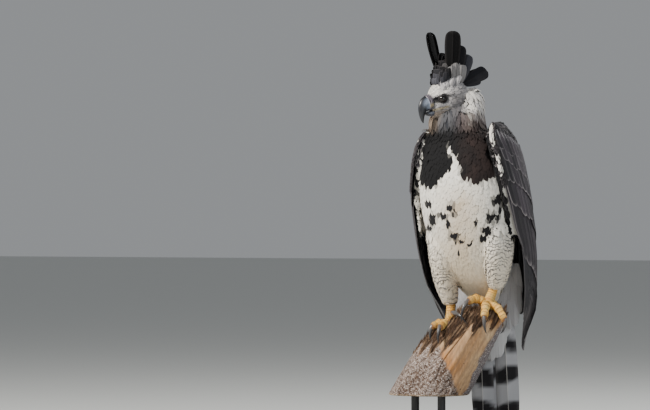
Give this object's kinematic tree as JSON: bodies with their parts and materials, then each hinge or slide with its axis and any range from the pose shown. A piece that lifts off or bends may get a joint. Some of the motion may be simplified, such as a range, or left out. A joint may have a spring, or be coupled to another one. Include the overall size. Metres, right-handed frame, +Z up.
{
  "type": "harpy eagle",
  "caption": "Life-size harpy eagle with raised crest, gripping a short cut length of dead limb on a low display stand.",
  "frame": {"origin": "on the underside of the stand's base, below the middle of the bird's body", "axes": "+Z up, -Y the way the breast faces, +X the bird's left side"},
  "size_m": [0.45, 0.4, 1.0394],
  "materials": {
    "feather_white": "matte",
    "feather_grey": "matte",
    "feather_black": "satin",
    "feather_barred": "matte",
    "scaled_skin": "satin",
    "horn": "gloss",
    "eye": "gloss",
    "dead_wood": "matte",
    "stand_board": "satin",
    "stand_steel": "satin"
  },
  "bodies": {
    "root": {"stand_base": "stand_board", "stand_rod_1": "stand_steel", "stand_rod_2": "stand_steel", "perch": "dead_wood", "torso": "feather_white", "neck": "feather_grey", "head": "feather_grey", "bill_upper": "horn", "bill_lower": "horn", "eye_left": "eye", "eye_right": "eye", "wing_left": "feather_black", "wing_right": "feather_black", "tail": "feather_barred", "thigh_left": "feather_barred", "thigh_right": "feather_barred", "tarsus_left": "scaled_skin", "tarsus_right": "scaled_skin", "foot_left": "scaled_skin", "foot_right": "scaled_skin", "claw_left_inner": "horn", "claw_left_middle": "horn", "claw_left_outer": "horn", "claw_left_hind": "horn", "claw_right_inner": "horn", "claw_right_middle": "horn", "claw_right_outer": "horn", "claw_right_hind": "horn"}
  },
  "joints": []
}
